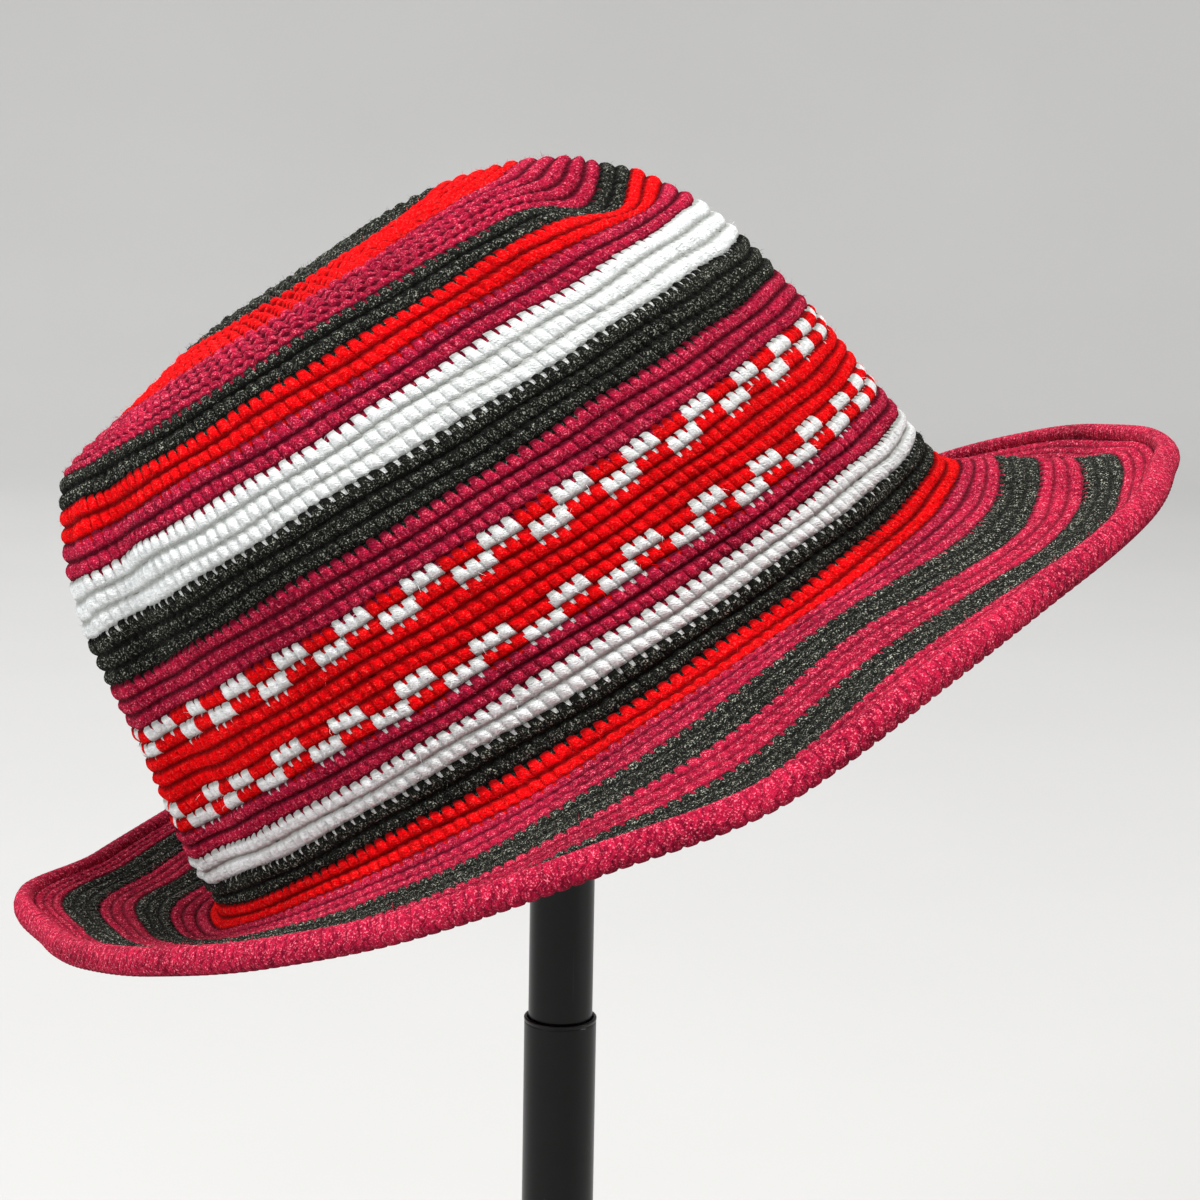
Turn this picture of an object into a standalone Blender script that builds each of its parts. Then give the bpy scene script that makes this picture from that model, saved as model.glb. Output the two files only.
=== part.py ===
"""Crocheted brimmed hat hung on a plain telescopic stand, in metres, +Z up.

The stand's foot rests on z = 0 with its tubes on the Z axis. The hat is tipped back on the stand's
knob with its front towards +X. The hat's face is written in millimetres in its own frame (x to the
front, y to the wearer's left, z up, origin in the middle of the crown's foot) and placed once.
"""
import math

import bpy
import numpy as np

for thing in list(bpy.data.objects):
    bpy.data.objects.remove(thing, do_unlink=True)

OBJECT = "crochet_hat_on_stand"
MM = 0.001

# Placing of the hat on the stand
HAT_TILT = math.radians(32.0)
HAT_ORIGIN = (0.0010, 0.0, 0.2663)

# The knitted wall, and the clearance between neighbouring pieces
WALL = 4.0
GAP = 0.30
AROUND = 64

# Outer face of the crown, counted in crochet rounds from the middle of the top, millimetres
CROWN_COLUMNS = ("round", "high_front", "high_back", "high_side", "reach_front", "reach_back", "reach_side")
CROWN = (
    (0.0, 117.6, 117.6, 117.6, -3.0, -3.0, 0.0),
    (5.0, 118.6, 116.8, 116.8, 19.0, -24.0, 18.5),
    (9.0, 117.6, 115.0, 115.0, 34.0, -38.5, 33.0),
    (14.0, 112.8, 109.9, 111.4, 54.2, -59.6, 51.0),
    (17.0, 107.4, 107.4, 108.2, 65.2, -72.0, 61.0),
    (19.0, 102.7, 105.0, 104.8, 70.3, -78.2, 66.3),
    (21.0, 97.6, 98.2, 98.6, 75.8, -82.8, 71.2),
    (23.0, 90.6, 90.6, 91.6, 80.9, -86.6, 75.2),
    (25.0, 83.6, 83.0, 84.4, 85.3, -89.8, 78.6),
    (28.0, 70.9, 68.8, 72.2, 90.5, -93.4, 82.5),
    (31.0, 59.3, 56.6, 60.6, 93.3, -94.6, 84.8),
    (34.0, 48.4, 45.6, 49.4, 95.7, -95.8, 86.0),
    (39.0, 30.2, 26.6, 31.0, 98.9, -98.6, 86.6),
    (43.0, 15.6, 11.8, 17.0, 101.4, -100.6, 86.4),
    (46.0, 5.0, 1.2, 5.8, 103.0, -101.6, 86.2),
)
OVAL_POWER = 2.05
END_SHARE = 2.6

# Brim by turn from the front, degrees: slope half way out, change of slope to the edge, width in mm
BRIM_COLUMNS = ("turn", "slope", "curl", "wave", "width")
BRIM = (
    (0.0, -22.0, 25.9, 34.4, 50.0),
    (15.0, -19.5, 74.7, 22.5, 50.9),
    (30.0, -17.2, 62.3, 17.5, 52.7),
    (45.0, -14.5, 32.0, 19.3, 52.7),
    (60.0, -13.0, 4.9, 22.8, 55.9),
    (75.0, -12.3, 26.5, 34.9, 59.2),
    (90.0, -5.8, 43.7, 12.9, 56.8),
    (105.0, -0.5, 60.3, -5.6, 51.2),
    (120.0, 8.5, 58.9, -12.2, 44.8),
    (135.0, 19.9, 37.0, -8.0, 39.4),
    (150.0, 29.1, 18.0, -7.1, 36.5),
    (165.0, 34.9, 8.6, -8.5, 38.3),
    (180.0, 37.6, -0.8, 4.0, 46.2),
)
TURN_ROUND = 46.0
LAST_ROUND = 65.0
FOOT_WIDTH = 10.8
FOOT_SLOPE = -84.0
FOOT_BEND = 13.0

# Pinch beside the nose of the crown, and the soft fold down the back of the wearer's right side
PINCH_TURN, PINCH_SPREAD, PINCH_ROUND, PINCH_ROUNDS = 24.0, 13.0, 19.5, 3.2
PINCH_DOWN, PINCH_BACK, PINCH_IN = 7.5, 1.5, 5.0
FOLD_TOP, FOLD_FOOT, FOLD_SPREAD = 145.0, 157.0, 5.0
FOLD_RIDGE, FOLD_TROUGH, FOLD_STEP = 1.2, 1.7, 10.0

# Rounds at which each piece has an edge loop
TOP_ROUNDS = (2.5, 5.5, 8.5, 11.5, 14.0, 16.0, 17.5)
UPPER_SIDE_ROUNDS = (20.0, 21.0, 22.5, 24.5, 27.0, 30.5)
LOWER_SIDE_ROUNDS = (37.5, 41.0, 45.0, 47.2)
BRIM_ROUNDS = (50.3, 52.0, 54.4, 56.8, 59.0, 61.0)
RIM_ROUND = 19.0
WAIST_ROUND = 34.0
JOIN_ROUND = 49.0
ROUND_HEIGHT = 3.64

# Edging round of the brim: a thick oval cord, out and up
EDGE_OUT, EDGE_UP, EDGE_SIDES = 2.6, 3.3, 10

# Stand, metres
FOOT_RADIUS, FOOT_THICK, FOOT_ROUNDING = 0.100, 0.006, 0.002
HUB_RADIUS, HUB_TOP, HUB_FLOOR = 0.0140, 0.022, 0.003
LOWER_RADIUS, LOWER_TOP = 0.0090, 0.180
UPPER_RADIUS, UPPER_WALL, UPPER_FOOT, UPPER_TOP = 0.0080, 0.0010, 0.118, 0.361
KNOB_RADIUS, KNOB_CENTRE, KNOB_NECK, KNOB_FOOT = 0.0200, 0.3665, 0.0110, 0.345
CLEAR = 0.0003
STAND_SIDES = 40


def smooth_column(table, column, at, level_ends=False):
    """Monotone cubic through one column of a table whose first column is the place."""
    place = np.array([row[0] for row in table])
    value = np.array([row[column] for row in table])
    step = np.diff(place)
    rise = np.diff(value) / step
    slope = np.zeros(len(place))
    for i in range(1, len(place) - 1):
        if rise[i - 1] * rise[i] > 0.0:
            before = 2.0 * step[i] + step[i - 1]
            after = step[i] + 2.0 * step[i - 1]
            slope[i] = (before + after) / (before / rise[i - 1] + after / rise[i])
    if not level_ends:
        slope[0], slope[-1] = rise[0], rise[-1]
    k = np.clip(np.searchsorted(place, at) - 1, 0, len(place) - 2)
    t = (at - place[k]) / step[k]
    start = (1.0 + 2.0 * t) * (1.0 - t) ** 2 * value[k] + t * (1.0 - t) ** 2 * step[k] * slope[k]
    end = t * t * (3.0 - 2.0 * t) * value[k + 1] + t * t * (t - 1.0) * step[k] * slope[k + 1]
    return start + end


def crown_column(name, at):
    return smooth_column(CROWN, CROWN_COLUMNS.index(name), at)


def brim_column(name, at):
    return smooth_column(BRIM, BRIM_COLUMNS.index(name), at, level_ends=True)


def crown_face(turn, rounds):
    """Outer face of the crown at a turn from the front (radians, + to the left) and a round."""
    ahead, aside = np.cos(turn), np.sin(turn)
    along = np.sign(ahead) * np.abs(ahead) ** (2.0 / OVAL_POWER)
    across = np.sign(aside) * np.abs(aside) ** (2.0 / OVAL_POWER)
    front, back = crown_column("reach_front", rounds), crown_column("reach_back", rounds)
    side = crown_column("high_side", rounds)
    end = np.where(ahead > 0.0, crown_column("high_front", rounds), crown_column("high_back", rounds))
    x = (front + back) / 2.0 + (front - back) / 2.0 * along
    y = crown_column("reach_side", rounds) * across
    z = side + (end - side) * np.abs(ahead) ** END_SHARE
    degrees = np.degrees(np.abs(turn))
    pinch = np.exp(-((degrees - PINCH_TURN) / PINCH_SPREAD) ** 2)
    pinch = pinch * np.exp(-((rounds - PINCH_ROUND) / PINCH_ROUNDS) ** 2)
    share = np.clip((rounds - RIM_ROUND) / (TURN_ROUND - RIM_ROUND), 0.0, 1.0)
    past = np.degrees(-turn) - (FOLD_TOP + (FOLD_FOOT - FOLD_TOP) * share)
    fold = FOLD_RIDGE * np.exp(-(past / FOLD_SPREAD) ** 2)
    fold = fold - FOLD_TROUGH * np.exp(-((past + FOLD_STEP) / (1.3 * FOLD_SPREAD)) ** 2)
    fold = fold * np.clip((rounds - RIM_ROUND) / 4.0, 0.0, 1.0)
    fold = fold * np.clip((TURN_ROUND - 0.5 - rounds) / 5.0, 0.0, 1.0)
    x = x - PINCH_BACK * pinch + fold * ahead
    y = y - PINCH_IN * pinch * np.sign(aside) + fold * aside
    return np.stack([x, y, z - PINCH_DOWN * pinch], -1)


def hat_face(turn, rounds):
    """Outer face of the whole hat, in millimetres in the hat's own frame."""
    turn, rounds = np.broadcast_arrays(np.asarray(turn, float), np.asarray(rounds, float))
    point = crown_face(turn, np.minimum(rounds, TURN_ROUND))
    degrees = np.degrees(np.abs(turn))
    slope = np.radians(brim_column("slope", degrees))
    curl = np.radians(brim_column("curl", degrees))
    wave = np.radians(brim_column("wave", degrees))
    length = brim_column("width", degrees) + FOOT_WIDTH
    foot = np.full_like(rounds, TURN_ROUND)
    tangent = (crown_face(turn + 0.001, foot) - crown_face(turn - 0.001, foot))[..., :2]
    tangent = tangent / np.linalg.norm(tangent, axis=-1, keepdims=True)
    steps = 48
    step = length * np.maximum((rounds - TURN_ROUND) / (LAST_ROUND - TURN_ROUND), 0.0) / steps
    out, up = np.zeros_like(rounds), np.zeros_like(rounds)
    start = math.radians(FOOT_SLOPE)
    for i in range(steps):
        run = (i + 0.5) * step
        bend = np.clip(run / FOOT_BEND, 0.0, 1.0)
        bend = bend * bend * (3.0 - 2.0 * bend)
        far = np.clip((run - 8.0) / (length - 8.0), 0.0, 1.0)
        ripple = wave * (4.0 * (far - 0.5) ** 2 - 1.0 / 3.0)
        lean = start + (slope + curl * (far - 0.5) + ripple - start) * bend
        out = out + np.cos(lean) * step
        up = up + np.sin(lean) * step
    shift = np.stack([tangent[..., 1] * out, -tangent[..., 0] * out, up], -1)
    return point + shift


def hat_normal(turn, rounds):
    """Outward unit normal of the hat's face."""
    turn, rounds = np.broadcast_arrays(np.asarray(turn, float), np.asarray(rounds, float))
    around = hat_face(turn + 0.004, rounds) - hat_face(turn - 0.004, rounds)
    onward = hat_face(turn, rounds + 0.05) - hat_face(turn, rounds - 0.05)
    normal = np.cross(onward, around)
    return normal / np.linalg.norm(normal, axis=-1, keepdims=True)


def place_hat(points):
    """From the hat's frame in millimetres to the part's frame in metres."""
    cosine, sine = math.cos(HAT_TILT), math.sin(HAT_TILT)
    points = np.asarray(points, float) * MM
    x = points[..., 0] * cosine - points[..., 2] * sine
    z = points[..., 0] * sine + points[..., 2] * cosine
    return np.stack([x, points[..., 1], z], -1) + np.array(HAT_ORIGIN)


def material(name, colour, roughness, metallic=0.0):
    made = bpy.data.materials.new(name)
    made.use_nodes = True
    shader = made.node_tree.nodes["Principled BSDF"]
    shader.inputs["Base Color"].default_value = (*colour, 1.0)
    shader.inputs["Roughness"].default_value = roughness
    shader.inputs["Metallic"].default_value = metallic
    made.diffuse_color = (*colour, 1.0)
    return made


def add_object(name, points, faces, look):
    """A mesh object whose loops are already closed, with its faces turned outward."""
    mesh = bpy.data.meshes.new(name)
    mesh.from_pydata([tuple(map(float, point)) for point in points], [], faces)
    mesh.materials.append(look)
    corner = np.array([[points[i] for i in (face[0], face[k], face[k + 1])]
                       for face in faces for k in range(1, len(face) - 1)])
    volume = np.einsum("ij,ij->i", corner[:, 0], np.cross(corner[:, 1], corner[:, 2])).sum() / 6.0
    if volume < 0.0:
        mesh.flip_normals()
    mesh.validate()
    made = bpy.data.objects.new(name, mesh)
    collection.objects.link(made)
    return made


def ring_faces(loops, sides, ends_meet):
    """Triangles between successive loops; the closing row is split so that seams match face to face."""
    faces = []
    for row in range(loops if ends_meet else loops - 1):
        low, high = row * sides, (row + 1) % loops * sides
        for i in range(sides):
            j = (i + 1) % sides
            if row < loops - 1:
                faces.append((low + i, low + j, high + j))
                faces.append((low + i, high + j, high + i))
            else:
                faces.append((low + j, high + j, high + i))
                faces.append((low + j, high + i, low + i))
    return faces


def fabric(name, rounds, look, closed_top=False):
    """A piece of the hat's wall between its first and last rounds, cut square to the seams."""
    turn = np.linspace(-math.pi, math.pi, AROUND, endpoint=False)
    loops = [np.broadcast_to(np.asarray(value, float), turn.shape) for value in rounds]
    outer, inner = [], []
    for loop in loops:
        square_to = loop
        for seam in (RIM_ROUND, WAIST_ROUND, JOIN_ROUND):
            square_to = np.where(np.abs(loop - seam) < 0.1, seam, square_to)
        outer.append(hat_face(turn, loop))
        inner.append(outer[-1] - WALL * hat_normal(turn, square_to))
    loops = outer + inner[::-1]
    faces = ring_faces(len(loops), AROUND, not closed_top)
    points = place_hat(np.concatenate(loops))
    if closed_top:
        middle = hat_face(0.0, 0.0)
        caps = place_hat(np.stack([middle, middle - (0.0, 0.0, WALL)]))
        points = np.concatenate([points, caps])
        count = len(loops) * AROUND
        last = count - AROUND
        for i in range(AROUND):
            j = (i + 1) % AROUND
            faces.append((count, j, i))
            faces.append((count + 1, last + i, last + j))
    return add_object(name, points, faces, look)


def lathe(name, profile, look, hollow=False):
    """A body turned about the Z axis from (radius, height) points; a hollow profile closes on itself."""
    angles = np.linspace(0.0, 2.0 * math.pi, STAND_SIDES, endpoint=False)
    inside = [point for point in profile if point[0] > 0.0]
    points = [(r * math.cos(a), r * math.sin(a), z) for r, z in inside for a in angles]
    faces = ring_faces(len(inside), STAND_SIDES, hollow)
    if not hollow:
        points.append((0.0, 0.0, profile[0][1]))
        points.append((0.0, 0.0, profile[-1][1]))
        count = len(inside) * STAND_SIDES
        last = count - STAND_SIDES
        for i in range(STAND_SIDES):
            j = (i + 1) % STAND_SIDES
            faces.append((count, j, i))
            faces.append((count + 1, last + i, last + j))
    return add_object(name, points, faces, look)


collection = bpy.data.collections.new(OBJECT)
bpy.context.scene.collection.children.link(collection)

# Crown top: the closed end of the crown, out to the first rim round
half_gap = GAP / 2.0 / ROUND_HEIGHT
fabric("crown_top", TOP_ROUNDS + (RIM_ROUND - half_gap,),
       material("charcoal_yarn", (0.022, 0.023, 0.021), 0.95), closed_top=True)

# Crown side, upper half: the turned rim and the plain stripes, with the pinch in it
fabric("crown_upper_side", (RIM_ROUND + half_gap,) + UPPER_SIDE_ROUNDS + (WAIST_ROUND - half_gap,),
       material("white_yarn", (0.74, 0.75, 0.73), 0.90))

# Crown side, lower half: the checked band, down to the brim
fabric("crown_lower_side", (WAIST_ROUND + half_gap,) + LOWER_SIDE_ROUNDS + (JOIN_ROUND - half_gap,),
       material("scarlet_yarn", (0.62, 0.012, 0.016), 0.90))

# Brim: from the crown's foot to just inside the edging
whole_turn = np.linspace(-math.pi, math.pi, AROUND, endpoint=False)
width = brim_column("width", np.degrees(np.abs(whole_turn))) + FOOT_WIDTH
per_mm = (LAST_ROUND - TURN_ROUND) / width
brim_end = LAST_ROUND - (2.0 * EDGE_OUT + GAP) * per_mm
brim_late = LAST_ROUND - (2.0 * EDGE_OUT + GAP + 3.6) * per_mm
fabric("brim", (JOIN_ROUND + half_gap,) + BRIM_ROUNDS + (brim_late, brim_end),
       material("burgundy_yarn", (0.36, 0.022, 0.060), 0.92))

# Brim edge: the thick last round, an oval cord laid along the brim's end
edge_round = LAST_ROUND - EDGE_OUT * per_mm
normal = hat_normal(whole_turn, edge_round)
spine = hat_face(whole_turn, edge_round) - 0.5 * WALL * normal
outward = hat_face(whole_turn, edge_round + 0.05) - hat_face(whole_turn, edge_round - 0.05)
outward = outward / np.linalg.norm(outward, axis=-1, keepdims=True)
edge_loops = []
for i in range(EDGE_SIDES):
    angle = 2.0 * math.pi * i / EDGE_SIDES
    edge_loops.append(spine + EDGE_OUT * math.cos(angle) * outward + EDGE_UP * math.sin(angle) * normal)
add_object("brim_edge", place_hat(np.concatenate(edge_loops)), ring_faces(EDGE_SIDES, AROUND, True),
           material("burgundy_edge_yarn", (0.40, 0.020, 0.060), 0.92))

# Stand foot: a round steel plate with a socket for the lower tube
black = (0.012, 0.012, 0.013)
socket = LOWER_RADIUS + CLEAR
lathe("stand_base", (
    (0.0, 0.0), (FOOT_RADIUS - 0.001, 0.0), (FOOT_RADIUS, 0.001),
    (FOOT_RADIUS, FOOT_THICK - FOOT_ROUNDING),
    (FOOT_RADIUS - 0.3 * FOOT_ROUNDING, FOOT_THICK - 0.3 * FOOT_ROUNDING),
    (FOOT_RADIUS - FOOT_ROUNDING, FOOT_THICK), (HUB_RADIUS, FOOT_THICK),
    (HUB_RADIUS, HUB_TOP - 0.001), (HUB_RADIUS - 0.001, HUB_TOP), (socket, HUB_TOP),
    (socket, HUB_FLOOR), (0.0, HUB_FLOOR),
), material("foot_paint", black, 0.45))

# Lower tube: open at its upper end, where the thinner tube slides in
lathe("stand_lower_tube", (
    (LOWER_RADIUS, HUB_FLOOR + CLEAR), (LOWER_RADIUS, LOWER_TOP - 0.0003),
    (LOWER_RADIUS - 0.0003, LOWER_TOP), (UPPER_RADIUS + CLEAR, LOWER_TOP),
    (UPPER_RADIUS + CLEAR, HUB_FLOOR + CLEAR),
), material("lower_tube_paint", black, 0.38), hollow=True)

# Upper tube
lathe("stand_upper_tube", (
    (UPPER_RADIUS, UPPER_FOOT), (UPPER_RADIUS, UPPER_TOP),
    (UPPER_RADIUS - UPPER_WALL, UPPER_TOP), (UPPER_RADIUS - UPPER_WALL, UPPER_FOOT),
), material("upper_tube_paint", black, 0.34), hollow=True)

# Knob: a plain rounded head with a sleeve over the upper tube
knob = [(0.0, KNOB_CENTRE + KNOB_RADIUS)]
for i in range(1, 8):
    angle = math.pi / 2.0 * (1.0 - i / 7.0)
    knob.append((KNOB_RADIUS * math.cos(angle), KNOB_CENTRE + KNOB_RADIUS * math.sin(angle)))
bore = UPPER_RADIUS + CLEAR
knob += [(KNOB_RADIUS - 0.0012, KNOB_CENTRE - 0.0030), (KNOB_NECK + 0.003, KNOB_CENTRE - 0.0060),
         (KNOB_NECK, KNOB_CENTRE - 0.0085), (KNOB_NECK, KNOB_FOOT), (bore, KNOB_FOOT),
         (bore, UPPER_TOP + CLEAR), (0.0, UPPER_TOP + CLEAR)]
lathe("stand_top", knob, material("knob_plastic", (0.020, 0.020, 0.021), 0.50))
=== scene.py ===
"""Looks for the crocheted brimmed hat on its stand: every stitch, the yarns, the paint, light and camera.

Lengths on the hat are millimetres in the hat's own frame (x to the front, y to the wearer's left,
z up) until set_on_stand puts them in the part's frame in metres.
"""
import math

import bpy
import numpy as np
from mathutils import Matrix, Vector


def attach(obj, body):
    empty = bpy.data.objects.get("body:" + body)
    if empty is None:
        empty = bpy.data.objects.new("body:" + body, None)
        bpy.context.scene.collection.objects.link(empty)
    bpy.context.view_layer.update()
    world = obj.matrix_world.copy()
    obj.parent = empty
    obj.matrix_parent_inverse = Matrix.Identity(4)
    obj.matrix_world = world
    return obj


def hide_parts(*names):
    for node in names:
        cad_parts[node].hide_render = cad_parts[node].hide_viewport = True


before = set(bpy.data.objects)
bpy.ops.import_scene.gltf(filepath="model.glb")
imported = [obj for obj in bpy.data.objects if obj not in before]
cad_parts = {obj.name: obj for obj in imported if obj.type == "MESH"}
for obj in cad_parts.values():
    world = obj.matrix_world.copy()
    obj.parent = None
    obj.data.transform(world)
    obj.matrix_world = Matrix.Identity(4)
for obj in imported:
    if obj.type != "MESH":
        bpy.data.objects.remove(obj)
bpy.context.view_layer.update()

# CAMERA
# A short telephoto a little above the hat, level with its right side, turned by one degree as in
# the photograph.
camera_lens = bpy.data.cameras.new("camera")
camera_lens.lens = 85.0
camera_lens.sensor_width = 36.0
camera = bpy.data.objects.new("camera", camera_lens)
bpy.context.scene.collection.objects.link(camera)
bpy.context.scene.camera = camera
aimed_at = Vector((0.00806, 0.0, 0.2851))
distance, lifted, rolled = 0.690, math.radians(9.5), math.radians(1.02)
stands_at = aimed_at + distance * Vector((0.0, -math.cos(lifted), math.sin(lifted)))
facing = (aimed_at - stands_at).to_track_quat("-Z", "Y").to_matrix().to_4x4()
camera.matrix_world = Matrix.Translation(stands_at) @ facing @ Matrix.Rotation(rolled, 4, "Z")

# CROWN TOP
# The flat pinched top of the crown, crocheted in cotton from the middle outward: nine charcoal,
# five scarlet and five burgundy rounds. It turns down into the crown's side at round 19.

# The fabric's outer face over the crown, counted in rounds from the middle of the top
CROWN_COLUMNS = ("round", "high_front", "high_back", "high_side", "reach_front", "reach_back", "reach_side")
CROWN = (
    (0.0, 117.6, 117.6, 117.6, -3.0, -3.0, 0.0),
    (5.0, 118.6, 116.8, 116.8, 19.0, -24.0, 18.5),
    (9.0, 117.6, 115.0, 115.0, 34.0, -38.5, 33.0),
    (14.0, 112.8, 109.9, 111.4, 54.2, -59.6, 51.0),
    (17.0, 107.4, 107.4, 108.2, 65.2, -72.0, 61.0),
    (19.0, 102.7, 105.0, 104.8, 70.3, -78.2, 66.3),
    (21.0, 97.6, 98.2, 98.6, 75.8, -82.8, 71.2),
    (23.0, 90.6, 90.6, 91.6, 80.9, -86.6, 75.2),
    (25.0, 83.6, 83.0, 84.4, 85.3, -89.8, 78.6),
    (28.0, 70.9, 68.8, 72.2, 90.5, -93.4, 82.5),
    (31.0, 59.3, 56.6, 60.6, 93.3, -94.6, 84.8),
    (34.0, 48.4, 45.6, 49.4, 95.7, -95.8, 86.0),
    (39.0, 30.2, 26.6, 31.0, 98.9, -98.6, 86.6),
    (43.0, 15.6, 11.8, 17.0, 101.4, -100.6, 86.4),
    (46.0, 5.0, 1.2, 5.8, 103.0, -101.6, 86.2),
)
# The brim by the turn from the front, alike on both sides: slope half way out, change of slope to
# the edge and ripple of the slope, all in degrees, and width from round 49 in millimetres
BRIM_COLUMNS = ("turn", "slope", "curl", "wave", "width")
BRIM = (
    (0.0, -22.0, 25.9, 34.4, 50.0),
    (15.0, -19.5, 74.7, 22.5, 50.9),
    (30.0, -17.2, 62.3, 17.5, 52.7),
    (45.0, -14.5, 32.0, 19.3, 52.7),
    (60.0, -13.0, 4.9, 22.8, 55.9),
    (75.0, -12.3, 26.5, 34.9, 59.2),
    (90.0, -5.8, 43.7, 12.9, 56.8),
    (105.0, -0.5, 60.3, -5.6, 51.2),
    (120.0, 8.5, 58.9, -12.2, 44.8),
    (135.0, 19.9, 37.0, -8.0, 39.4),
    (150.0, 29.1, 18.0, -7.1, 36.5),
    (165.0, 34.9, 8.6, -8.5, 38.3),
    (180.0, 37.6, -0.8, 4.0, 46.2),
)
# The rounds at which the top turns over the rim, the side turns out into the brim, and the brim ends
RIM_ROUND, TURN_ROUND, LAST_ROUND = 19.0, 46.0, 65.0
WALL = 4.0
OVAL_POWER, END_SHARE = 2.05, 2.6
TIPPED_BACK = math.radians(32.0)
PLACE_ON_STAND = (0.0010, 0.0, 0.2663)

# The foot, where the cloth turns from the crown's side into the brim: lengths along the cloth
FOOT_WIDTH, FOOT_SLOPE, FOOT_BEND, CURL_FROM = 10.8, math.radians(-84.0), 13.0, 8.0

# The pinch on both sides of the front, and the soft fold down the back of the wearer's right side
PINCH_TURN, PINCH_SPREAD, PINCH_ROUND, PINCH_ROUNDS = 24.0, 13.0, 19.5, 3.2
PINCH_DOWN, PINCH_BACK, PINCH_IN = 7.5, 1.5, 5.0
FOLD_TOP, FOLD_FOOT, FOLD_SPREAD = 145.0, 157.0, 5.0
FOLD_RIDGE, FOLD_TROUGH, FOLD_STEP = 1.2, 1.7, 10.0


def smooth_column(table, column, at, level_ends=False):
    """Monotone cubic through one column of a table whose first column is the place."""
    place = np.array([row[0] for row in table])
    value = np.array([row[column] for row in table])
    step = np.diff(place)
    rise = np.diff(value) / step
    slope = np.zeros(len(place))
    for i in range(1, len(place) - 1):
        if rise[i - 1] * rise[i] > 0.0:
            before = 2.0 * step[i] + step[i - 1]
            after = step[i] + 2.0 * step[i - 1]
            slope[i] = (before + after) / (before / rise[i - 1] + after / rise[i])
    if not level_ends:
        slope[0], slope[-1] = rise[0], rise[-1]
    k = np.clip(np.searchsorted(place, at) - 1, 0, len(place) - 2)
    t = (at - place[k]) / step[k]
    start = (1.0 + 2.0 * t) * (1.0 - t) ** 2 * value[k] + t * (1.0 - t) ** 2 * step[k] * slope[k]
    end = t * t * (3.0 - 2.0 * t) * value[k + 1] + t * t * (t - 1.0) * step[k] * slope[k + 1]
    return start + end


def brim_value(name, turn):
    """One column of the brim's table at a turn from the front."""
    return smooth_column(BRIM, BRIM_COLUMNS.index(name), np.degrees(np.abs(turn)), level_ends=True)


def brim_width(turn):
    """Width of the cloth from the turn at the crown's foot out to the edge, in millimetres."""
    return brim_value("width", turn) + FOOT_WIDTH


def past_fold(turn, rounds):
    """Degrees past the soft fold down the back of the right side, which leans as it comes down."""
    share = np.clip((rounds - RIM_ROUND) / (TURN_ROUND - RIM_ROUND), 0.0, 1.0)
    return np.degrees(-turn) - (FOLD_TOP + (FOLD_FOOT - FOLD_TOP) * share)


def crown_face(turn, rounds):
    """Outer face of the crown at a turn from the front (radians, + to the left) and a round."""
    reach = {name: smooth_column(CROWN, i, rounds) for i, name in enumerate(CROWN_COLUMNS) if i}
    ahead, aside = np.cos(turn), np.sin(turn)
    along = np.sign(ahead) * np.abs(ahead) ** (2.0 / OVAL_POWER)
    across = np.sign(aside) * np.abs(aside) ** (2.0 / OVAL_POWER)
    front, back, side = reach["reach_front"], reach["reach_back"], reach["high_side"]
    end = np.where(ahead > 0.0, reach["high_front"], reach["high_back"])
    x = (front + back) / 2.0 + (front - back) / 2.0 * along
    y = reach["reach_side"] * across
    z = side + (end - side) * np.abs(ahead) ** END_SHARE
    from_pinch = np.degrees(np.abs(turn)) - PINCH_TURN
    pinch = np.exp(-(from_pinch / PINCH_SPREAD) ** 2 - ((rounds - PINCH_ROUND) / PINCH_ROUNDS) ** 2)
    past = past_fold(turn, rounds)
    fold = FOLD_RIDGE * np.exp(-(past / FOLD_SPREAD) ** 2)
    fold = fold - FOLD_TROUGH * np.exp(-((past + FOLD_STEP) / 6.5) ** 2)
    fold = fold * np.clip((rounds - RIM_ROUND) / 4.0, 0.0, 1.0) * np.clip((45.5 - rounds) / 5.0, 0.0, 1.0)
    x = x - PINCH_BACK * pinch + fold * ahead
    y = y - PINCH_IN * pinch * np.sign(aside) + fold * aside
    return np.stack([x, y, z - PINCH_DOWN * pinch], -1)


def hat_face(turn, rounds):
    """Outer face of the whole hat: the crown, then the brim run out from its foot in small steps."""
    point = crown_face(turn, np.minimum(rounds, TURN_ROUND))
    slope, curl, wave = (np.radians(brim_value(name, turn)) for name in ("slope", "curl", "wave"))
    length, steps = brim_width(turn), 48
    foot = np.full_like(rounds, TURN_ROUND)
    tangent = (crown_face(turn + 0.001, foot) - crown_face(turn - 0.001, foot))[..., :2]
    tangent = tangent / np.linalg.norm(tangent, axis=-1, keepdims=True)
    step = length * np.maximum((rounds - TURN_ROUND) / (LAST_ROUND - TURN_ROUND), 0.0) / steps
    out, up = np.zeros_like(rounds), np.zeros_like(rounds)
    for i in range(steps):
        run = (i + 0.5) * step
        bend = np.clip(run / FOOT_BEND, 0.0, 1.0)
        bend = bend * bend * (3.0 - 2.0 * bend)
        far = np.clip((run - CURL_FROM) / (length - CURL_FROM), 0.0, 1.0)
        ripple = wave * (4.0 * (far - 0.5) ** 2 - 1.0 / 3.0)
        lean = FOOT_SLOPE + (slope + curl * (far - 0.5) + ripple - FOOT_SLOPE) * bend
        out, up = out + np.cos(lean) * step, up + np.sin(lean) * step
    return point + np.stack([tangent[..., 1] * out, -tangent[..., 0] * out, up], -1)


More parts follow.
